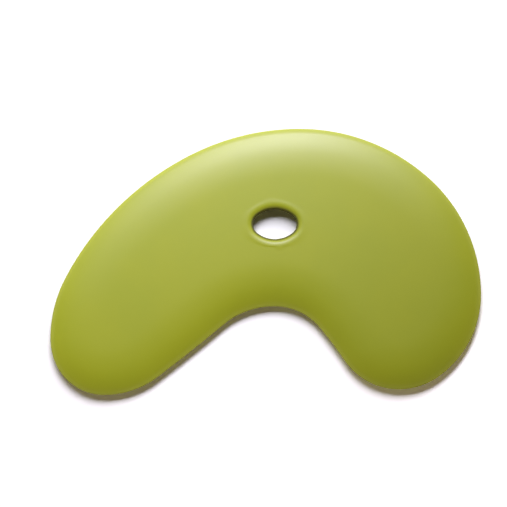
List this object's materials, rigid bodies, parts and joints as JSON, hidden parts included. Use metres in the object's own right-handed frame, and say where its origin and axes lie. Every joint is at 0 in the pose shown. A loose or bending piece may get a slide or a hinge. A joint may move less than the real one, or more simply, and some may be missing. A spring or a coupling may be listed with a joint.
{
  "type": "pottery rib",
  "caption": "Flexible cast rib for smoothing and shaping clay, with a long curved back, a toe and a heel either side of a hollow waist, and an oval hole.",
  "frame": {"origin": "middle of the outline's box, on the back face that the rib lies on", "axes": "+X along the length from the toe's end to the heel's end, +Y from the waist towards the long curved back, +Z out of the front face"},
  "size_m": [0.152, 0.094, 0.0063],
  "materials": {
    "polyurethane": "satin cast polyurethane, olive lime, slightly translucent at its thin lip"
  },
  "bodies": {
    "root": {"rib_body": "polyurethane"}
  },
  "joints": []
}
